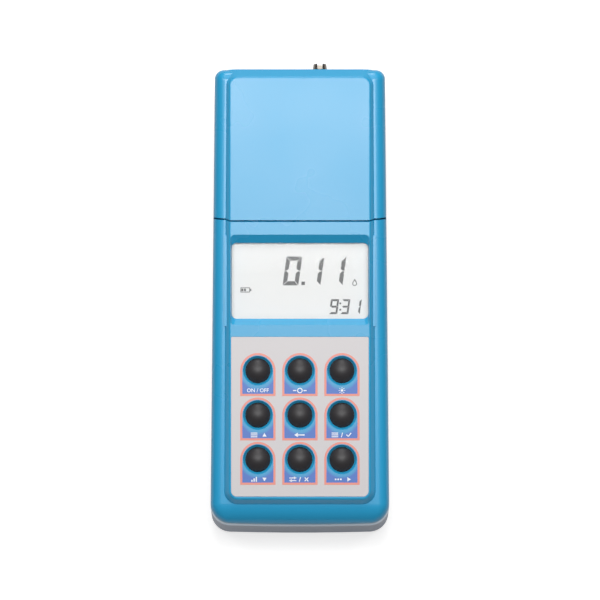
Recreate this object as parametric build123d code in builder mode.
# Portable turbidity meter: a wedge-shaped handheld case lying on its back, with a hinged lid over the
# sample well, a sunk display and nine round keys. The lid end is +Y, the keypad face looks up along +Z.
import os
from math import atan2, cos, degrees, radians, sin, tan

from build123d import *

# Driving dimensions, in millimetres and degrees

# Lengths along the face, from the keypad end to the lid end: together they make up the case
front_margin = 11.2
foil_margin = 1.3
overlay_length = 77.0
display_gap = 5.7
recess_height = 43.7
lid_line_gap = 6.5
lid_length = 74.1

# Case as a whole
reader_reach = 6.6
half_width_front = 43.3
half_width_rear = 41.1
front_bow = 0.8
front_corner = 9.5
rear_corner = 4.5
face_tilt = 8.0
parting_height = 31.0
wall = 2.5
foot_stand = 1.2
cut_margin = 10.0

# Upper edges of the case
shoulder_drop_front = 3.3
shoulder_drop_rear = 1.9
nose_radius = 12.0
nose_sweep = 50.0
shoulder_radius = 5.0

# Raised plateau that carries the display and the keypad, and runs on over the lid
plateau_half_width = 34.0
plateau_rear_margin = 4.6
plateau_corner = 4.0
plateau_draft = 38.0
plateau_edge = 1.3

# Lid and its hinge
lid_line_step = 1.2
lid_line_run = 1.7
lid_gap = 0.9
lid_depth = 20.0
lid_clearance = 0.6
barrel_radius = 5.5
barrel_rise = 1.7
barrel_clearance = 0.3
ledge_drop = 6.4
pin_radius = 1.5
pin_running_clearance = 0.05
pin_press_clearance = 0.02
pin_half_length = 37.0
knuckle_radius = 2.9
knuckle_inner = 14.0
knuckle_outer = 24.0
knuckle_side_clearance = 0.3

# Display
recess_width = 67.3
recess_depth = 3.0
view_width = 65.9
view_height = 36.6
view_shift = 0.45
view_corner = 2.4
lip_thickness = 0.7
window_margin = 1.6
window_thickness = 1.2
gasket_thickness = 0.6
lcd_thickness = 2.2
backlight_thickness = 2.3
frame_margin = 2.0
frame_wall = 1.4
fit_gap = 0.15

# Keypad
overlay_width = 66.3
overlay_corner = 2.6
overlay_thickness = 0.4
key_pitch_x = 20.3
key_pitch_v = 21.43
key_row_shift = 0.75
key_radius = 5.75
key_hole_clearance = 0.3
key_dish_radius = 7.15
key_dish_depth = 1.3
key_dome_height = 1.9
key_edge_height = -0.9
key_flange = 1.1
key_flange_thickness = 1.0
key_travel = 1.0
key_stem_radius = 2.0
deck_thickness_at_keys = 3.1
mat_corner = 3.0

# Boards
board_depth = 10.5
board_thickness = 1.6
board_half_width = 35.5
board_front_margin = 2.9
board_rear_margin = 3.8
post_radius = 2.6
post_x = 28.5
post_inset = 4.0
post_gap = 2.9
screw_radius = 1.0
screw_length = 6.0
screw_head_radius = 2.0
screw_head_height = 1.4

# Parts on the main board: each chip's place from the middle and from the board's front edge, and its size
chip_places = ((0.0, 37.0, 14.0, 14.0), (-18.0, 79.0, 8.0, 12.0), (12.0, 87.0, 9.0, 6.0), (0.0, 113.0, 40.0, 4.0))
chip_height = 1.6
clock_cell_x = 20.0
clock_cell_inset = 39.0
clock_cell_radius = 8.0
clock_cell_height = 3.2
beeper_radius = 6.0
beeper_height = 4.5

# Sample well
well_setback = 41.4
well_radius = 12.9
well_depth = 40.0
well_floor = 2.0
holder_clearance = 2.2
holder_half = 17.0
holder_corner = 4.0
deck_thickness = 2.0
deck_upstand = 3.0
deck_upstand_wall = 1.5
deck_block = 8.0
deck_screw_x = 33.0
deck_screw_spread = 19.0
seal_width = 2.5
seal_height = 3.0
well_collar_wall = 2.0
well_collar_height = 2.4
beam_height = 12.6
port_radius = 4.0
lens_thickness = 3.4
lamp_housing_radius = 6.0
lamp_housing_length = 11.0
bulb_radius = 2.8
bulb_length = 8.0
can_radius = 3.8
can_length = 4.6
can_flange_radius = 4.6
can_flange_thickness = 0.6
small_board_half = 8.0

# Touch reader for sample tags
reader_x = 9.7
reader_radius = 4.1
reader_tip_radius = 3.1
reader_bore_radius = 2.2
reader_slot_width = 2.6
reader_slot_depth = 2.6
reader_flange_radius = 4.9
reader_pin_radius = 0.7

# Socket board behind the end wall, with the power and data sockets
socket_room = 8.0
socket_drop = 5.0
socket_board_low = 33.0
socket_board_high = 49.0
socket_board_left = -36.0
socket_board_right = 26.0
jack_x = -9.0
jack_nose_radius = 4.1
jack_bore_radius = 2.9
jack_pin_radius = 1.0
jack_half = 4.7
usb_x = -24.0
usb_width = 7.8
usb_height = 3.9
usb_corner = 0.8
usb_skin = 0.4

# Batteries
cell_radius = 7.25
cell_length = 49.2
cell_pitch = 15.0
cell_count = 4
bay_wall = 1.5
bay_setback = 25.0
contact_room = 3.0
cell_nub_radius = 2.6
cell_nub_length = 1.3
cover_margin = 2.2
cover_thickness = 1.2
cover_tab = 9.0
cover_screw_x = 20.0

# Fasteners and feet
case_screw_radius = 1.5
case_boss_radius = 3.6
case_boss_height = 5.0
case_web_thickness = 2.4
case_head_radius = 2.6
case_head_height = 2.0
case_head_depth = 8.0
case_screw_x = 35.0
case_screw_front_setback = 17.0
case_screw_rear_setback = 17.4
foot_radius = 5.0
foot_sink = 0.8
foot_x = 25.0
foot_front_setback = 15.5
foot_rear_setback = 14.4
rear_draft = 0.5
rear_edge_radius = 3.0
rim_height = 1.2
rim_wall = 1.0

os.makedirs("parts", exist_ok=True)

# Places worked out from the driving dimensions

tilt = radians(face_tilt)
face_length = front_margin + foil_margin + overlay_length + display_gap + recess_height + lid_line_gap + lid_length
overall_length = face_length * cos(tilt) + reader_reach
front_y = -overall_length / 2
rear_y = overall_length / 2 - reader_reach
half_span = max(half_width_front, half_width_rear) + cut_margin

# Places along the face, measured from the middle of the overall length
rear_end = rear_y / cos(tilt)
plateau_front = rear_end - face_length + front_margin
plateau_rear = rear_end - plateau_rear_margin
overlay_bottom = plateau_front + foil_margin
overlay_top = overlay_bottom + overlay_length
keypad_middle = (overlay_top + overlay_bottom) / 2
key_middle_row = keypad_middle + key_row_shift
recess_centre = overlay_top + display_gap + recess_height / 2
view_centre = recess_centre - view_shift
lid_line = rear_end - lid_length
well_centre = rear_end - well_setback
board_front = plateau_front + board_front_margin
board_rear = lid_line - board_rear_margin
clock_cell_v = board_front + clock_cell_inset

# The face stands just high enough for the well's block to clear the floor of the rear shell
shell_floor = foot_stand + wall - 0.3
deck_level = -lid_depth - lid_clearance
holder_top = deck_level - deck_thickness
well_bottom = holder_top - well_depth
holder_low = (well_centre - holder_half) * sin(tilt) + (well_bottom - well_floor) * cos(tilt)
face_height = shell_floor + holder_clearance - holder_low

# The face plane: local x runs across, local y (v) towards the lid end, local z (w) out of the face.
face = Plane(origin=(0, 0, face_height), x_dir=(1, 0, 0), z_dir=(0, -sin(tilt), cos(tilt)))

# The side plane: local x is v and local y is w, so profiles drawn on it are cut across the width.
side = Plane(origin=face.origin, x_dir=face.y_dir, z_dir=(1, 0, 0))


def on_face(v, w):
    """Give the Y and Z of a point of the side plane."""
    return v * cos(tilt) - w * sin(tilt), face_height + v * sin(tilt) + w * cos(tilt)


hinge_y = rear_y - barrel_radius
hinge_z = on_face(rear_end, 0)[1] - lid_depth / cos(tilt) + barrel_rise
hinge = Plane(origin=(0, hinge_y, hinge_z), x_dir=(0, 1, 0), z_dir=(1, 0, 0))
seat_radius = barrel_radius + barrel_clearance
trough_wall = 2.0
reader_z = hinge_z - ledge_drop - trough_wall - reader_radius - 0.9

shoulder_front = on_face(plateau_front, -shoulder_drop_front)
shoulder_rear = on_face(plateau_rear, -shoulder_drop_rear)
shoulder_slope = (shoulder_rear[1] - shoulder_front[1]) / (shoulder_rear[0] - shoulder_front[0])
shoulder_angle = degrees(atan2(shoulder_slope, 1))

window_top = -recess_depth - lip_thickness
window_bottom = window_top - window_thickness
lcd_top = window_bottom - gasket_thickness
lcd_bottom = lcd_top - lcd_thickness
board_top = -board_depth
board_bottom = board_top - board_thickness

key_hole_radius = key_radius + key_hole_clearance
key_flange_top = -deck_thickness_at_keys - 0.1
key_flange_bottom = key_flange_top - key_flange_thickness
ring_top = key_flange_bottom - key_travel - 0.2
mat_thickness = 1.0
dome_height = 1.2
key_stem_end = board_top + dome_height + 0.2 + key_travel

beam_w = well_bottom + beam_height

socket_z = reader_z - socket_drop
end_wall = Plane(origin=(0, rear_y, 0), x_dir=(-1, 0, 0), z_dir=(0, 1, 0))
io_post_places = [(-x, socket_z) for x in (socket_board_left + 3, socket_board_right - 3)]
upstand_rear = (hinge_y - seat_radius - lid_clearance + deck_level * sin(tilt)) / cos(tilt)

bay_front = front_y + bay_setback
bay_half_width = cell_pitch * cell_count / 2 + 0.6
bay_length = cell_length + 2 * contact_room
bay_rear = bay_front + bay_length
cell_axis_z = shell_floor + cell_radius + 0.5
bay_top = cell_axis_z + cell_radius + 0.5


def half_width_at(y):
    """Give half the width of the case at a place along its length."""
    return half_width_front + (half_width_rear - half_width_front) * (y - front_y) / (rear_y - front_y)


def case_plan(height, inset):
    """Draw the case outline, inset from the outer skin, at a height above the table."""
    with BuildSketch(Plane.XY.offset(height)) as plan:
        with BuildLine():
            Line((half_width_front, front_y + front_bow), (half_width_rear, rear_y))
            Line((half_width_rear, rear_y), (-half_width_rear, rear_y))
            Line((-half_width_rear, rear_y), (-half_width_front, front_y + front_bow))
            ThreePointArc(
                (-half_width_front, front_y + front_bow),
                (0, front_y),
                (half_width_front, front_y + front_bow),
            )
        make_face()
        fillet(plan.vertices().group_by(Axis.Y)[0], front_corner)
        fillet(plan.vertices().group_by(Axis.Y)[-1], rear_corner)
        if inset:
            offset(amount=-inset)
    return plan.sketch


def plan_prism(inset, low, high):
    """Extrude the case outline between two heights."""
    with BuildPart() as prism:
        add(case_plan(low, inset))
        extrude(amount=high - low)
    return prism.part


def shoulder_z(y, inset):
    """Give the height of the shoulder surface, or of its inner skin."""
    return shoulder_front[1] + (y - shoulder_front[0]) * shoulder_slope - inset / cos(radians(shoulder_angle))


def case_block(inset):
    """Make the upper case without its plateau, inset from the outer skin, with its nose and shoulders."""
    radius = nose_radius - inset
    reach = radius * (sin(radians(shoulder_angle + nose_sweep)) - sin(radians(shoulder_angle)))
    bend_y = front_y + front_bow + inset + reach
    back_y = rear_y + 5
    base_z = parting_height - 1
    with BuildPart() as block:
        add(case_plan(parting_height, inset))
        extrude(amount=face_height)
        with BuildSketch(Plane.YZ):
            with BuildLine():
                back = Line((back_y, base_z), (back_y, shoulder_z(back_y, inset)))
                top = Line(back @ 1, (bend_y, shoulder_z(bend_y, inset)))
                nose = JernArc(top @ 1, top % 1, radius, nose_sweep)
                chin = Line(nose @ 1, (nose @ 1) + (nose % 1) * nose_radius / 2)
                drop = Line(chin @ 1, ((chin @ 1).X, base_z))
                Line(drop @ 1, back @ 0)
            make_face()
        extrude(amount=half_span, both=True, mode=Mode.INTERSECT)
        crown = block.faces().filter_by(lambda f: f.normal_at().Z > 0.6 and f.area > 30)
        rim = block.edges().filter_by(
            lambda e: e.center().Z > parting_height + 1
            and sum(1 for f in crown for x in f.edges() if x.is_same(e)) == 1
        )
        fillet(rim, shoulder_radius - inset)
    return block.part


def plateau_block(inset):
    """Make the raised plateau with its sloping skirt, reaching down into the case block."""
    with BuildPart() as block:
        with BuildSketch(face.offset(-inset)):
            with Locations((0, (plateau_front + plateau_rear) / 2)):
                RectangleRounded(
                    2 * (plateau_half_width - inset / 2),
                    plateau_rear - plateau_front - inset,
                    plateau_corner - inset / 2,
                )
        extrude(amount=-2 * shoulder_drop_front + inset, taper=-plateau_draft)
        add(plan_prism(inset, parting_height, 2 * face_height), mode=Mode.INTERSECT)
    return block.part


def lid_zone(shift, floor):
    """Make the wedge of space that the lid takes, behind its stepped front line and above a floor."""
    start = lid_line + shift
    step = start + lid_line_step
    lean = lid_line_step / shoulder_drop_front
    foot = step + lid_line_run * (-floor - shoulder_drop_front) / (lid_depth - shoulder_drop_front)
    with BuildPart() as zone:
        with BuildSketch(side):
            with BuildLine():
                Polyline(
                    (start - cut_margin * lean, cut_margin),
                    (step, -shoulder_drop_front),
                    (foot, floor),
                    (overall_length, floor),
                    (overall_length, cut_margin),
                    close=True,
                )
            make_face()
        extrude(amount=half_span, both=True)
    return zone.part


def face_slab(low, high, v_front, v_rear, half_width=half_span):
    """Make a plate parallel to the face between two depths."""
    with BuildPart() as slab:
        with BuildSketch(face.offset(low)):
            with Locations((0, (v_front + v_rear) / 2)):
                Rectangle(2 * half_width, v_rear - v_front)
        extrude(amount=high - low)
    return slab.part


def finish(part, name):
    """Label a finished piece and write it to its own file."""
    part.label = name
    export_step(part, "parts/" + name + ".step")


# Outer form of the case, common to the front shell and the lid
with BuildPart() as outer_form:
    add(case_block(0))
    add(plateau_block(0))
    top_edges = outer_form.edges().filter_by(lambda e: abs(face.to_local_coords(e.center()).Z) < 0.01)
    fillet(top_edges, plateau_edge)

# Inner form, one wall inside it
with BuildPart() as inner_form:
    add(case_block(wall))
    add(plateau_block(wall))

# Front shell

post_rows = (board_front + post_inset, overlay_top - post_gap)
post_places = [(x, v) for x in (-post_x, post_x) for v in post_rows]
case_screw_front = front_y + case_screw_front_setback
case_screw_rear = rear_y - case_screw_rear_setback
case_screw_places = [(x, y) for x in (-case_screw_x, case_screw_x) for y in (case_screw_front, case_screw_rear)]
deck_screw_rows = (well_centre - deck_screw_spread, well_centre + deck_screw_spread)
deck_screw_places = [(x, v) for x in (-deck_screw_x, deck_screw_x) for v in deck_screw_rows]
seat_width = view_width + 2 * window_margin
seat_height = view_height + 2 * window_margin


def overlay_outline(grow):
    """Draw the outline of the keypad foil: nearly square above, rounded below."""
    with BuildSketch() as outline:
        Rectangle(overlay_width + 2 * grow, overlay_top - overlay_bottom + 2 * grow)
        fillet(outline.vertices().group_by(Axis.Y)[0], overlay_corner)
        fillet(outline.vertices().group_by(Axis.Y)[-1], overlay_corner / 4)
    return outline.sketch


with BuildPart() as front_cavity:
    add(inner_form.part)
    add(lid_zone(-lid_gap / 2 - wall, deck_level), mode=Mode.SUBTRACT)
    with BuildSketch(face.offset(-wall)):
        with Locations((0, keypad_middle)):
            Rectangle(2 * plateau_half_width, overlay_top - overlay_bottom)
    extrude(amount=wall - deck_thickness_at_keys, mode=Mode.SUBTRACT)

# Concave seat for the lid's barrel with the ledge behind it
with BuildPart() as hinge_seat:
    with BuildSketch(hinge):
        Circle(seat_radius + trough_wall)
        with Locations((0, -ledge_drop)):
            Rectangle(barrel_radius, 2 * ledge_drop, align=(Align.MIN, Align.MIN), mode=Mode.SUBTRACT)
            Rectangle(barrel_radius, trough_wall, align=(Align.MIN, Align.MAX))
    extrude(amount=half_span, both=True)
    add(plan_prism(wall / 2, parting_height, 2 * face_height), mode=Mode.INTERSECT)

with BuildPart() as front_shell:
    add(outer_form.part)
    add(front_cavity.part, mode=Mode.SUBTRACT)
    add(hinge_seat.part)
    add(lid_zone(-lid_gap / 2, deck_level), mode=Mode.SUBTRACT)
    with BuildSketch(hinge):
        Circle(seat_radius)
        with Locations((0, -ledge_drop)):
            Rectangle(2 * barrel_radius, 3 * ledge_drop, align=(Align.MIN, Align.MIN))
    extrude(amount=half_span, both=True, mode=Mode.SUBTRACT)

    # Thick frame round the display, with the sloping recess above and the window's seat below
    with BuildSketch(face.offset(lcd_top)):
        with Locations((0, view_centre)):
            Rectangle(seat_width + 2 * frame_margin, seat_height + 2 * frame_margin)
    extrude(amount=-recess_depth + wall / 2 - lcd_top)
    with BuildSketch(face):
        with Locations((0, recess_centre)):
            RectangleRounded(recess_width, recess_height, view_corner)
    with BuildSketch(face.offset(-recess_depth)):
        with Locations((0, view_centre)):
            RectangleRounded(view_width, view_height, view_corner)
    loft(mode=Mode.SUBTRACT)
    with BuildSketch(face.offset(-recess_depth)):
        with Locations((0, view_centre)):
            RectangleRounded(view_width, view_height, view_corner)
    extrude(amount=-lip_thickness, mode=Mode.SUBTRACT)
    with BuildSketch(face.offset(window_top)):
        with Locations((0, view_centre)):
            Rectangle(seat_width, seat_height)
    extrude(amount=-wall, mode=Mode.SUBTRACT)

    # Shallow bed for the keypad foil, then a dished hole for each key
    with BuildSketch(face):
        with Locations((0, keypad_middle)):
            add(overlay_outline(fit_gap))
    extrude(amount=-overlay_thickness, mode=Mode.SUBTRACT)
    with BuildSketch(face.offset(-overlay_thickness)):
        with Locations((0, key_middle_row)):
            with GridLocations(key_pitch_x, key_pitch_v, 3, 3):
                Circle(key_hole_radius)
    extrude(amount=-2 * deck_thickness_at_keys, mode=Mode.SUBTRACT)
    with Locations(face.offset(-overlay_thickness)):
        with Locations((0, key_middle_row)):
            with GridLocations(key_pitch_x, key_pitch_v, 3, 3):
                Cone(
                    key_hole_radius,
                    key_dish_radius,
                    key_dish_depth,
                    align=(Align.CENTER, Align.CENTER, Align.MAX),
                    mode=Mode.SUBTRACT,
                )

    # Posts for the main board, blocks for the deck, bosses for the case screws
    with BuildSketch(face.offset(board_top)):
        with Locations(*post_places):
            Circle(post_radius)
    extrude(amount=board_depth - wall)
    with BuildSketch(face.offset(board_top)):
        with Locations(*post_places):
            Circle(screw_radius)
    extrude(amount=screw_length, mode=Mode.SUBTRACT)
    with BuildSketch(face.offset(holder_top)):
        for row_v in deck_screw_rows:
            with Locations((-deck_screw_x, row_v), (deck_screw_x, row_v)):
                Rectangle(2 * (half_width_at(row_v) - wall / 2 - deck_screw_x), deck_block)
    extrude(amount=-deck_block)
    with BuildSketch(face.offset(holder_top)):
        with Locations(*deck_screw_places):
            Circle(screw_radius)
    extrude(amount=-screw_length, mode=Mode.SUBTRACT)
    with BuildSketch(Plane.XY.offset(parting_height)):
        with Locations(*case_screw_places):
            Circle(case_boss_radius)
    extrude(amount=case_boss_height)
    with BuildSketch(Plane.XY.offset(parting_height + rim_height + fit_gap)):
        for row_y in (case_screw_front, case_screw_rear):
            with Locations((0, row_y)):
                Rectangle(2 * half_width_at(row_y) - wall, case_web_thickness)
                Rectangle(2 * case_screw_x, case_web_thickness, mode=Mode.SUBTRACT)
    extrude(amount=case_boss_height - rim_height - fit_gap)
    with BuildSketch(Plane.XY.offset(parting_height)):
        with Locations(*case_screw_places):
            Circle(case_screw_radius + pin_press_clearance)
    extrude(amount=case_boss_height - 1, mode=Mode.SUBTRACT)

    # End wall: posts for the socket board, then the openings of the reader, the power and the data socket
    with BuildSketch(end_wall.offset(-wall / 2)):
        with Locations(*io_post_places):
            Circle(post_radius)
    extrude(amount=-socket_room - wall / 2)
    with BuildSketch(end_wall.offset(-wall - socket_room)):
        with Locations(*io_post_places):
            Circle(screw_radius)
    extrude(amount=screw_length, mode=Mode.SUBTRACT)
    with BuildSketch(end_wall):
        with Locations((-reader_x, reader_z)):
            Circle(reader_radius + fit_gap)
        with Locations((-jack_x, socket_z)):
            Circle(jack_nose_radius + fit_gap)
        with Locations((-usb_x, socket_z)):
            RectangleRounded(usb_width + 2 * fit_gap, usb_height + 2 * fit_gap, usb_corner)
    extrude(amount=-1.5 * wall, mode=Mode.SUBTRACT)

finish(front_shell.part, "front_shell")

# Lid: the rear part of the form above the deck, hollow, with a barrel along its lower rear edge

with BuildPart() as lid_cavity:
    add(inner_form.part)
    add(lid_zone(lid_gap / 2 + wall, 2 * deck_level), mode=Mode.INTERSECT)

with BuildPart() as lid_barrel:
    with BuildSketch(hinge):
        Circle(barrel_radius)
    extrude(amount=half_span, both=True)
    add(outer_form.part, mode=Mode.INTERSECT)

with BuildPart() as lid_shell:
    add(outer_form.part)
    add(lid_zone(lid_gap / 2, -lid_depth), mode=Mode.INTERSECT)
    add(lid_cavity.part, mode=Mode.SUBTRACT)
    add(lid_barrel.part)
    for start in (knuckle_inner - knuckle_side_clearance, -knuckle_outer - knuckle_side_clearance):
        with BuildSketch(hinge.offset(start)):
            with Locations((knuckle_radius + barrel_clearance, barrel_radius)):
                Rectangle(3 * barrel_radius, 3 * barrel_radius, align=(Align.MAX, Align.MAX))
            with Locations((0, -pin_radius / 2)):
                Rectangle(4 * barrel_radius, 2 * barrel_radius, align=(Align.CENTER, Align.MAX))
        extrude(amount=knuckle_outer - knuckle_inner + 2 * knuckle_side_clearance, mode=Mode.SUBTRACT)
    with BuildSketch(hinge):
        Circle(pin_radius + pin_running_clearance)
    extrude(amount=pin_half_length + lid_clearance, both=True, mode=Mode.SUBTRACT)

finish(lid_shell.part, "lid_shell")

# Foam strip glued inside the lid's front and side walls, just above the deck's upstand
seal_low = deck_level + deck_upstand + barrel_clearance
seal_front = lid_line + lid_line_step + lid_line_run + lid_gap / 2 + wall
high = 2 * face_height
with BuildPart() as seal_bar:
    add(face_slab(seal_low, seal_low + seal_height, seal_front, seal_front + seal_width))
    add(plan_prism(wall, parting_height, high), mode=Mode.INTERSECT)
with BuildPart() as lid_seal:
    add(plan_prism(wall, parting_height, high))
    add(plan_prism(wall + seal_width, parting_height, high), mode=Mode.SUBTRACT)
    add(face_slab(seal_low, seal_low + seal_height, seal_front + seal_width / 2, upstand_rear), mode=Mode.INTERSECT)
    add(seal_bar.part)
finish(lid_seal.part, "lid_seal")

# Measuring deck: the black plate round the mouth of the well, with the hinge's fixed knuckles

deck_front = seal_front - lid_gap - 2 * wall + 1
upstand_front = seal_front + lid_clearance
well_mouth_radius = well_radius + 0.5
arm_reach = seat_radius + trough_wall + 5

with BuildPart() as upstand:
    add(plan_prism(wall + lid_clearance, parting_height, high))
    add(plan_prism(wall + lid_clearance + deck_upstand_wall, parting_height, high), mode=Mode.SUBTRACT)
    add(face_slab(deck_level, deck_level + deck_upstand, upstand_front, upstand_rear), mode=Mode.INTERSECT)

with BuildPart() as upstand_bars:
    add(face_slab(deck_level, deck_level + deck_upstand, upstand_front, upstand_front + deck_upstand_wall))
    add(face_slab(deck_level, deck_level + deck_upstand, upstand_rear - deck_upstand_wall, upstand_rear))
    add(plan_prism(wall + lid_clearance, parting_height, high), mode=Mode.INTERSECT)

with BuildPart() as measuring_deck:
    add(plan_prism(wall + fit_gap, parting_height, high))
    add(face_slab(holder_top, deck_level, deck_front, rear_y), mode=Mode.INTERSECT)
    with BuildSketch(hinge):
        Circle(seat_radius + trough_wall + fit_gap)
        Rectangle(4 * barrel_radius, 8 * barrel_radius, align=(Align.MIN, Align.CENTER))
    extrude(amount=half_span, both=True, mode=Mode.SUBTRACT)
    add(upstand.part)
    add(upstand_bars.part)
    with BuildSketch(face.offset(deck_level)):
        with Locations((0, well_centre)):
            Circle(well_mouth_radius + well_collar_wall)
    extrude(amount=well_collar_height)
    with BuildSketch(face.offset(holder_top)):
        with Locations((0, well_centre)):
            Circle(well_mouth_radius)
    extrude(amount=2 * deck_thickness + well_collar_height, mode=Mode.SUBTRACT)
    with BuildSketch(face.offset(holder_top)):
        with Locations(*deck_screw_places):
            Circle(screw_radius + fit_gap)
    extrude(amount=2 * deck_thickness, mode=Mode.SUBTRACT)
    for start in (knuckle_inner, -knuckle_outer):
        with BuildSketch(hinge.offset(start)):
            Circle(knuckle_radius)
            with BuildLine():
                Polyline(
                    (0, knuckle_radius - 1),
                    (-arm_reach, 0.5),
                    (-arm_reach - 1.5, -barrel_radius),
                    (-seat_radius - trough_wall - 1, -barrel_radius),
                    (-seat_radius - trough_wall, 0.8 - ledge_drop / 2),
                    (-knuckle_radius, -1.4),
                    close=True,
                )
            make_face()
        extrude(amount=knuckle_outer - knuckle_inner)
    with BuildSketch(hinge):
        Circle(pin_radius + pin_press_clearance)
    extrude(amount=half_span, both=True, mode=Mode.SUBTRACT)
finish(measuring_deck.part, "measuring_deck")

with BuildPart() as deck_screws:
    with BuildSketch(face.offset(deck_level)):
        with Locations(*deck_screw_places):
            Circle(screw_head_radius)
    extrude(amount=screw_head_height)
    with BuildSketch(face.offset(deck_level)):
        with Locations(*deck_screw_places):
            Circle(screw_radius)
    extrude(amount=-screw_length)
finish(deck_screws.part, "deck_screws")

with BuildPart() as lid_hinge_pin:
    with BuildSketch(hinge):
        Circle(pin_radius)
    extrude(amount=pin_half_length, both=True)
finish(lid_hinge_pin.part, "lid_hinge_pin")

# Optical block with the well for the sample vial, and three ports at the height of the beam

beam_y, beam_z = on_face(well_centre, beam_w)
lamp_side = Plane(origin=(-holder_half, beam_y, beam_z), x_dir=face.y_dir, z_dir=(-1, 0, 0))
far_side = Plane(origin=(holder_half, beam_y, beam_z), x_dir=face.y_dir, z_dir=(1, 0, 0))
near_y, near_z = on_face(well_centre - holder_half, beam_w)
scatter_side = Plane(origin=(0, near_y, near_z), x_dir=(1, 0, 0), z_dir=-face.y_dir)

with BuildPart() as cuvette_holder:
    with BuildSketch(face.offset(well_bottom - well_floor)):
        with Locations((0, well_centre)):
            RectangleRounded(2 * holder_half, 2 * holder_half, holder_corner)
    extrude(amount=well_depth + well_floor)
    with BuildSketch(face.offset(well_bottom)):
        with Locations((0, well_centre)):
            Circle(well_radius)
    extrude(amount=well_depth, mode=Mode.SUBTRACT)
    for port in (lamp_side, far_side, scatter_side):
        with BuildSketch(port):
            Circle(port_radius + pin_running_clearance)
        extrude(amount=-holder_half + well_radius / 2, mode=Mode.SUBTRACT)
finish(cuvette_holder.part, "cuvette_holder")

with BuildPart() as lamp_lens:
    with BuildSketch(lamp_side.offset(-lens_thickness)):
        Circle(port_radius)
    extrude(amount=lens_thickness)
    fillet(lamp_lens.faces().sort_by(Axis.X)[-1].edges(), 0.8)
finish(lamp_lens.part, "lamp_lens")

with BuildPart() as lamp_housing:
    with BuildSketch(lamp_side):
        Circle(lamp_housing_radius)
        Circle(bulb_radius + 1, mode=Mode.SUBTRACT)
    extrude(amount=lamp_housing_length)
    chamfer(lamp_housing.faces().sort_by(Axis.X)[0].outer_wire().edges(), 0.8)
finish(lamp_housing.part, "lamp_housing")

with BuildPart() as lamp_bulb:
    with BuildSketch(lamp_side.offset(lamp_housing_length)):
        Circle(bulb_radius)
    extrude(amount=-bulb_length)
    fillet(lamp_bulb.faces().sort_by(Axis.X)[-1].edges(), bulb_radius * 0.9)
    with BuildSketch(lamp_side.offset(lamp_housing_length)):
        Circle(bulb_radius + 1)
    extrude(amount=-2)
finish(lamp_bulb.part, "lamp_bulb")


def small_board(port, distance, name):
    """Make the little circuit board that stands behind the lamp or a detector."""
    with BuildPart() as board:
        with BuildSketch(port.offset(distance)):
            Rectangle(2 * small_board_half, 2 * small_board_half)
            with GridLocations(2 * small_board_half - 4, 2 * small_board_half - 4, 2, 2):
                Circle(screw_radius, mode=Mode.SUBTRACT)
        extrude(amount=board_thickness)
    finish(board.part, name)


def detector(port, name):
    """Make a round-can photodiode that sits in a port of the optical block."""
    with BuildPart() as can:
        with BuildSketch(port):
            Circle(can_flange_radius)
        extrude(amount=can_flange_thickness)
        with BuildSketch(port):
            Circle(can_radius)
        extrude(amount=-can_length + can_flange_thickness)
        chamfer(can.faces().filter_by(GeomType.PLANE).sort_by(lambda f: port.to_local_coords(f.center()).Z)[0].edges(), 0.5)
        with BuildSketch(port.offset(can_flange_thickness)):
            with PolarLocations(can_radius / 2, 3):
                Circle(0.4)
        extrude(amount=1.4)
    finish(can.part, name)


small_board(lamp_side, lamp_housing_length, "lamp_board")
detector(far_side, "transmitted_detector")
small_board(far_side, can_flange_thickness + 1.4, "transmitted_board")
detector(scatter_side, "scatter_detector")
small_board(scatter_side, can_flange_thickness + 1.4, "scatter_board")

# Display stack, from the window down to the backlight on the main board

def display_plate(top, thickness, shrink, name):
    """Make one rectangular layer of the display."""
    with BuildPart() as layer:
        with BuildSketch(face.offset(top)):
            with Locations((0, view_centre)):
                Rectangle(seat_width - 2 * shrink, seat_height - 2 * shrink)
        extrude(amount=-thickness)
    finish(layer.part, name)


display_plate(window_top, window_thickness, fit_gap, "display_window")
display_plate(lcd_top, lcd_thickness, frame_wall, "lcd_glass")
display_plate(lcd_bottom, backlight_thickness, frame_wall, "lcd_backlight")

with BuildPart() as display_gasket:
    with BuildSketch(face.offset(window_bottom)):
        with Locations((0, view_centre)):
            Rectangle(seat_width - 2 * fit_gap, seat_height - 2 * fit_gap)
            RectangleRounded(view_width, view_height, view_corner, mode=Mode.SUBTRACT)
    extrude(amount=-gasket_thickness)
finish(display_gasket.part, "display_gasket")

with BuildPart() as lcd_frame:
    with BuildSketch(face.offset(lcd_top)):
        with Locations((0, view_centre)):
            Rectangle(seat_width, seat_height)
            Rectangle(seat_width - 2 * frame_wall, seat_height - 2 * frame_wall, mode=Mode.SUBTRACT)
    extrude(amount=board_top - lcd_top)
finish(lcd_frame.part, "lcd_frame")

# Keypad: foil, keys, silicone mat and the metal domes under it

with BuildPart() as keypad_overlay:
    with BuildSketch(face):
        with Locations((0, keypad_middle)):
            add(overlay_outline(0))
        with Locations((0, key_middle_row)):
            with GridLocations(key_pitch_x, key_pitch_v, 3, 3):
                Circle(key_dish_radius, mode=Mode.SUBTRACT)
    extrude(amount=-overlay_thickness)
finish(keypad_overlay.part, "keypad_overlay")

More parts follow.
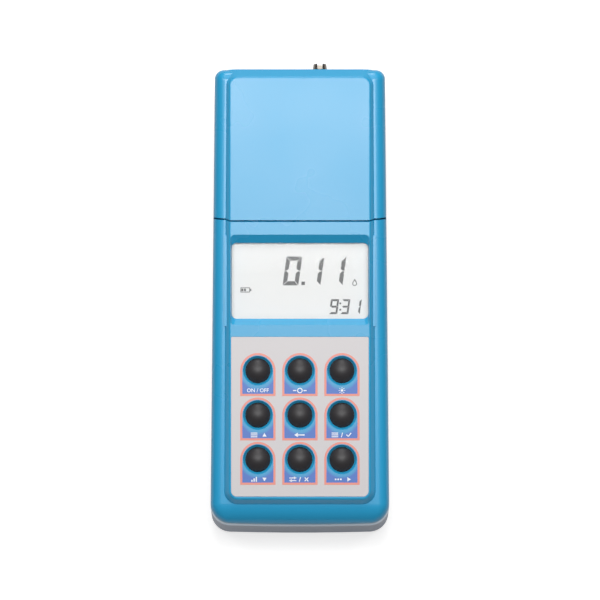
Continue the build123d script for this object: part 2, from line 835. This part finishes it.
# Each key ends in a round cap that stands proud of the foil
key_rise = key_dome_height - key_edge_height
key_dome_radius = (key_radius ** 2 + key_rise ** 2) / (2 * key_rise)
key_rows = (
    ("key_power", "key_cal", "key_light"),
    ("key_up", "key_recall", "key_log"),
    ("key_down", "key_setup", "key_read"),
)
for row, names in enumerate(key_rows):
    for column, name in enumerate(names):
        key_x = (column - 1) * key_pitch_x
        key_v = key_middle_row + (1 - row) * key_pitch_v
        key_y, key_z = on_face(key_v, 0)
        profile_plane = Plane(origin=(key_x, key_y, key_z), x_dir=(1, 0, 0), z_dir=-face.y_dir)
        with BuildPart() as key:
            with BuildSketch(profile_plane):
                with BuildLine():
                    Polyline(
                        (0, key_dome_height),
                        (0, key_stem_end),
                        (key_stem_radius, key_stem_end),
                        (key_stem_radius, key_flange_bottom),
                        (key_radius + key_flange, key_flange_bottom),
                        (key_radius + key_flange, key_flange_top),
                        (key_radius, key_flange_top),
                        (key_radius, key_edge_height),
                    )
                    RadiusArc((key_radius, key_edge_height), (0, key_dome_height), -key_dome_radius)
                make_face()
            revolve(axis=Axis((key_x, key_y, key_z), face.z_dir))
        finish(key.part, name)

mat_half_width = key_pitch_x + key_radius + key_flange + 2
mat_half_length = key_pitch_v + key_radius + key_flange + 2
with BuildPart() as key_mat:
    with BuildSketch(face.offset(board_top)):
        with Locations((0, key_middle_row)):
            RectangleRounded(2 * mat_half_width, 2 * mat_half_length, mat_corner)
    extrude(amount=mat_thickness)
    with BuildSketch(face.offset(board_top)):
        with Locations((0, key_middle_row)):
            with GridLocations(key_pitch_x, key_pitch_v, 3, 3):
                Circle(key_radius)
    extrude(amount=ring_top - board_top)
    with BuildSketch(face.offset(board_top)):
        with Locations((0, key_middle_row)):
            with GridLocations(key_pitch_x, key_pitch_v, 3, 3):
                Circle(key_radius - 1.2)
    extrude(amount=board_depth, mode=Mode.SUBTRACT)
finish(key_mat.part, "key_mat")

with BuildPart() as key_domes:
    with BuildSketch(face.offset(board_top)):
        with Locations((0, key_middle_row)):
            with GridLocations(key_pitch_x, key_pitch_v, 3, 3):
                Circle(key_radius / 2)
    extrude(amount=dome_height, taper=45)
finish(key_domes.part, "key_domes")

# Main board with its chips, clock cell and beeper, screwed up to the posts

with BuildPart() as main_board:
    with BuildSketch(face.offset(board_bottom)):
        with Locations((0, (board_front + board_rear) / 2)):
            RectangleRounded(2 * board_half_width, board_rear - board_front, 2)
        with Locations(*post_places):
            Circle(screw_radius + fit_gap, mode=Mode.SUBTRACT)
    extrude(amount=board_thickness)
finish(main_board.part, "main_board")

with BuildPart() as board_chips:
    for chip_x, chip_inset, chip_width, chip_length in chip_places:
        with BuildSketch(face.offset(board_bottom)):
            with Locations((chip_x, board_front + chip_inset)):
                Rectangle(chip_width, chip_length)
        extrude(amount=-chip_height)
finish(board_chips.part, "board_chips")

with BuildPart() as clock_cell:
    with BuildSketch(face.offset(board_bottom)):
        with Locations((clock_cell_x, clock_cell_v)):
            Circle(clock_cell_radius)
    extrude(amount=-clock_cell_height)
    chamfer(clock_cell.edges().filter_by(GeomType.CIRCLE), 0.4)
finish(clock_cell.part, "clock_cell")

with BuildPart() as beeper:
    with BuildSketch(face.offset(board_bottom)):
        with Locations((-clock_cell_x, clock_cell_v)):
            Circle(beeper_radius)
    extrude(amount=-beeper_height)
    with BuildSketch(face.offset(board_bottom - beeper_height)):
        with Locations((-clock_cell_x, clock_cell_v)):
            Circle(screw_radius)
    extrude(amount=beeper_height / 2, mode=Mode.SUBTRACT)
finish(beeper.part, "beeper")

with BuildPart() as board_screws:
    with BuildSketch(face.offset(board_bottom)):
        with Locations(*post_places):
            Circle(screw_head_radius)
    extrude(amount=-screw_head_height)
    with BuildSketch(face.offset(board_bottom)):
        with Locations(*post_places):
            Circle(screw_radius)
    extrude(amount=screw_length)
finish(board_screws.part, "board_screws")

# Socket board behind the end wall, carrying the power and data sockets

socket_board_depth = wall + socket_room
with BuildPart() as socket_board:
    with BuildSketch(end_wall.offset(-socket_board_depth)):
        with Locations((-(socket_board_left + socket_board_right) / 2, (socket_board_low + socket_board_high) / 2)):
            RectangleRounded(socket_board_right - socket_board_left, socket_board_high - socket_board_low, 1)
        with Locations(*io_post_places):
            Circle(screw_radius + fit_gap, mode=Mode.SUBTRACT)
    extrude(amount=-board_thickness)
finish(socket_board.part, "socket_board")

with BuildPart() as socket_board_screws:
    with BuildSketch(end_wall.offset(-socket_board_depth - board_thickness)):
        with Locations(*io_post_places):
            Circle(screw_head_radius)
    extrude(amount=-screw_head_height)
    with BuildSketch(end_wall.offset(-socket_board_depth - board_thickness)):
        with Locations(*io_post_places):
            Circle(screw_radius)
    extrude(amount=screw_length)
finish(socket_board_screws.part, "socket_board_screws")

with BuildPart() as power_socket:
    with BuildSketch(end_wall.offset(-socket_board_depth)):
        with Locations((-jack_x, socket_z)):
            Rectangle(2 * jack_half, 2 * jack_half)
    extrude(amount=socket_room - fit_gap)
    with BuildSketch(end_wall.offset(-socket_board_depth)):
        with Locations((-jack_x, socket_z)):
            Circle(jack_nose_radius)
    extrude(amount=socket_board_depth - 0.3)
    with BuildSketch(end_wall):
        with Locations((-jack_x, socket_z)):
            Circle(jack_bore_radius)
            Circle(jack_pin_radius, mode=Mode.SUBTRACT)
    extrude(amount=-socket_room - 1, mode=Mode.SUBTRACT)
    with BuildSketch(end_wall):
        with Locations((-jack_x, socket_z)):
            Circle(jack_nose_radius)
    extrude(amount=-1.2, mode=Mode.SUBTRACT)
    with BuildSketch(end_wall.offset(-1.2)):
        with Locations((-jack_x, socket_z)):
            Circle(jack_nose_radius)
            Circle(jack_bore_radius, mode=Mode.SUBTRACT)
    extrude(amount=0.9)
finish(power_socket.part, "power_socket")

with BuildPart() as data_socket:
    with BuildSketch(end_wall.offset(-socket_board_depth)):
        with Locations((-usb_x, socket_z)):
            RectangleRounded(usb_width, usb_height, usb_corner)
    extrude(amount=socket_board_depth - 0.5)
    with BuildSketch(end_wall):
        with Locations((-usb_x, socket_z)):
            RectangleRounded(usb_width - 2 * usb_skin, usb_height - 2 * usb_skin, usb_corner / 2)
            Rectangle(usb_width / 2, usb_height / 4, mode=Mode.SUBTRACT)
    extrude(amount=-socket_room, mode=Mode.SUBTRACT)
finish(data_socket.part, "data_socket")

# Touch reader: a slotted metal cup, its insulator and the contact in the middle

reader_axis = Axis((reader_x, 0, reader_z), (0, 1, 0))
reader_profile = Plane(origin=(reader_x, 0, reader_z), x_dir=(0, 1, 0), z_dir=(0, 0, -1))
tip_y = rear_y + reader_reach
flange_y = rear_y - wall - fit_gap
with BuildPart() as reader_cup:
    with BuildSketch(reader_profile):
        with BuildLine():
            Polyline(
                (flange_y - 1.4, reader_bore_radius),
                (tip_y, reader_bore_radius),
                (tip_y, reader_tip_radius),
                (rear_y, reader_radius),
                (flange_y, reader_radius),
                (flange_y, reader_flange_radius),
                (flange_y - 1.4, reader_flange_radius),
                close=True,
            )
        make_face()
    revolve(axis=reader_axis)
    with BuildSketch(end_wall.offset(reader_reach)):
        with Locations((-reader_x, reader_z)):
            Rectangle(reader_slot_width, 4 * reader_radius)
    extrude(amount=-reader_slot_depth, mode=Mode.SUBTRACT)
finish(reader_cup.part, "reader_cup")

with BuildPart() as reader_insulator:
    with BuildSketch(end_wall.offset(reader_reach - reader_slot_depth)):
        with Locations((-reader_x, reader_z)):
            Circle(reader_bore_radius)
            Circle(reader_pin_radius, mode=Mode.SUBTRACT)
    extrude(amount=-reader_reach + reader_slot_depth - wall - fit_gap - 1.4)
finish(reader_insulator.part, "reader_insulator")

with BuildPart() as reader_pin:
    with BuildSketch(end_wall.offset(reader_reach - reader_slot_depth + 0.8)):
        with Locations((-reader_x, reader_z)):
            Circle(reader_pin_radius)
    extrude(amount=-socket_board_depth - reader_reach + reader_slot_depth - 0.8)
finish(reader_pin.part, "reader_pin")

# Rear shell: the light lower half, drafted towards the table, with the battery bay inside

cover_front = bay_front - cover_margin
cover_rear = bay_rear + cover_tab
cover_half_width = bay_half_width + cover_margin
cover_screw_y = bay_rear + cover_tab / 2
cover_places = [(-cover_screw_x, cover_screw_y), (cover_screw_x, cover_screw_y)]
foot_rows = (front_y + foot_front_setback, rear_y - foot_rear_setback)
foot_places = [(x, y) for x in (-foot_x, foot_x) for y in foot_rows]
cover_ceiling = foot_stand + cover_thickness
bay_middle = (bay_front + bay_rear) / 2
head_ceiling = parting_height - case_head_depth


with BuildPart() as rear_room:
    add(case_plan(parting_height, wall))
    extrude(amount=-parting_height + shell_floor, taper=rear_draft)

with BuildPart() as rim_room:
    add(case_plan(parting_height - 2 * rim_height, wall + fit_gap + rim_wall))
    extrude(amount=4 * rim_height)

with BuildPart() as rear_shell:
    add(case_plan(parting_height, 0))
    extrude(amount=-parting_height + foot_stand, taper=rear_draft)
    fillet(rear_shell.faces().sort_by(Axis.Z)[0].edges(), rear_edge_radius)
    add(rear_room.part, mode=Mode.SUBTRACT)

    # Rim that locates the front shell
    add(case_plan(parting_height - rim_height, wall / 2))
    extrude(amount=rim_height)
    add(case_plan(parting_height, wall + fit_gap))
    extrude(amount=rim_height)
    add(rim_room.part, mode=Mode.SUBTRACT)
    with BuildSketch(Plane.XY.offset(parting_height)):
        with Locations(*case_screw_places):
            Circle(case_boss_radius + fit_gap)
    extrude(amount=2 * rim_height, mode=Mode.SUBTRACT)

    # Battery bay with its roof, open below
    with BuildSketch(Plane.XY.offset(shell_floor - 1)):
        with Locations((0, bay_middle)):
            Rectangle(2 * (bay_half_width + bay_wall), bay_length + 2 * bay_wall)
    extrude(amount=bay_top + bay_wall - shell_floor + 1)
    with BuildSketch(Plane.XY):
        with Locations((0, bay_middle)):
            Rectangle(2 * bay_half_width, bay_length)
    extrude(amount=bay_top, mode=Mode.SUBTRACT)
    with BuildSketch(Plane.XY):
        with Locations((0, (cover_front + cover_rear) / 2)):
            RectangleRounded(2 * (cover_half_width + fit_gap), cover_rear - cover_front + 2 * fit_gap, 2)
    extrude(amount=cover_ceiling, mode=Mode.SUBTRACT)

    # Bosses for the cover's and the case's screws
    with BuildSketch(Plane.XY.offset(cover_ceiling)):
        with Locations(*cover_places):
            Circle(post_radius)
    extrude(amount=2 * wall + screw_length / 2)
    with BuildSketch(Plane.XY.offset(cover_ceiling)):
        with Locations(*cover_places):
            Circle(screw_radius)
    extrude(amount=screw_length, mode=Mode.SUBTRACT)
    with BuildSketch(Plane.XY.offset(shell_floor - 1)):
        with Locations(*case_screw_places):
            Circle(case_boss_radius)
    extrude(amount=parting_height - shell_floor + 1)
    with BuildSketch(Plane.XY):
        with Locations(*case_screw_places):
            Circle(case_head_radius + fit_gap)
    extrude(amount=head_ceiling, mode=Mode.SUBTRACT)
    with BuildSketch(Plane.XY):
        with Locations(*case_screw_places):
            Circle(case_screw_radius + fit_gap)
    extrude(amount=2 * parting_height, mode=Mode.SUBTRACT)

    # Round beds for the feet
    with BuildSketch(Plane.XY):
        with Locations(*foot_places):
            Circle(foot_radius + fit_gap)
    extrude(amount=foot_stand + foot_sink, mode=Mode.SUBTRACT)
finish(rear_shell.part, "rear_shell")

with BuildPart() as case_screws:
    with BuildSketch(Plane.XY.offset(head_ceiling)):
        with Locations(*case_screw_places):
            Circle(case_head_radius)
    extrude(amount=-case_head_height)
    with BuildSketch(Plane.XY.offset(head_ceiling)):
        with Locations(*case_screw_places):
            Circle(case_screw_radius)
    extrude(amount=case_head_depth + case_boss_height - 2)
finish(case_screws.part, "case_screws")

with BuildPart() as rubber_feet:
    with BuildSketch(Plane.XY):
        with Locations(*foot_places):
            Circle(foot_radius)
    extrude(amount=foot_stand + foot_sink)
    chamfer(rubber_feet.edges().group_by(Axis.Z)[0], 0.5)
finish(rubber_feet.part, "rubber_feet")

# Battery cells, their contacts and the cover that two screws hold

cell_columns = [(column - (cell_count - 1) / 2) * cell_pitch for column in range(cell_count)]
with BuildPart() as battery_cells:
    for column, cell_x in enumerate(cell_columns):
        turned = column % 2 == 1
        base_y = bay_rear - contact_room if turned else bay_front + contact_room
        cell_plane = Plane(origin=(cell_x, base_y, cell_axis_z), x_dir=(1, 0, 0), z_dir=(0, -1 if turned else 1, 0))
        with BuildSketch(cell_plane):
            Circle(cell_radius)
        extrude(amount=cell_length)
        with BuildSketch(cell_plane.offset(cell_length)):
            Circle(cell_nub_radius)
        extrude(amount=cell_nub_length)
finish(battery_cells.part, "battery_cells")

# Each cell stands between a flat contact at its nub and a tapering spring at its base
contact_skin = 0.5
with BuildPart() as battery_contacts:
    for column, cell_x in enumerate(cell_columns):
        turned = column % 2 == 1
        for wall_y, inward in ((bay_front, 1), (bay_rear, -1)):
            contact_plane = Plane(origin=(cell_x, wall_y, cell_axis_z), x_dir=(1, 0, 0), z_dir=(0, inward, 0))
            spring_end = (inward == 1) != turned
            with BuildSketch(contact_plane):
                RectangleRounded(cell_pitch - 2, cell_pitch - 3, 1)
            extrude(amount=contact_skin)
            if spring_end:
                with Locations(contact_plane.offset(contact_skin)):
                    Cone(
                        cell_nub_radius + 2,
                        cell_nub_radius,
                        contact_room - contact_skin,
                        align=(Align.CENTER, Align.CENTER, Align.MIN),
                    )
            else:
                with BuildSketch(contact_plane.offset(contact_skin)):
                    Circle(cell_nub_radius)
                extrude(amount=contact_room - contact_skin - cell_nub_length)
finish(battery_contacts.part, "battery_contacts")

with BuildPart() as battery_cover:
    with BuildSketch(Plane.XY.offset(foot_stand)):
        with Locations((0, (cover_front + cover_rear) / 2)):
            RectangleRounded(2 * cover_half_width, cover_rear - cover_front, 2)
    extrude(amount=cover_thickness)
    with BuildSketch(Plane.XY):
        with Locations(*cover_places):
            Circle(screw_radius + fit_gap)
    extrude(amount=parting_height, mode=Mode.SUBTRACT)
    with BuildSketch(Plane.XY):
        with Locations(*cover_places):
            Circle(screw_head_radius + fit_gap)
    extrude(amount=foot_stand + cover_thickness / 2, mode=Mode.SUBTRACT)
finish(battery_cover.part, "battery_cover")

with BuildPart() as cover_screws:
    with BuildSketch(Plane.XY.offset(foot_stand)):
        with Locations(*cover_places):
            Circle(screw_head_radius)
    extrude(amount=cover_thickness / 2)
    with BuildSketch(Plane.XY.offset(foot_stand + cover_thickness / 2)):
        with Locations(*cover_places):
            Circle(screw_radius)
    extrude(amount=screw_length)
finish(cover_screws.part, "cover_screws")
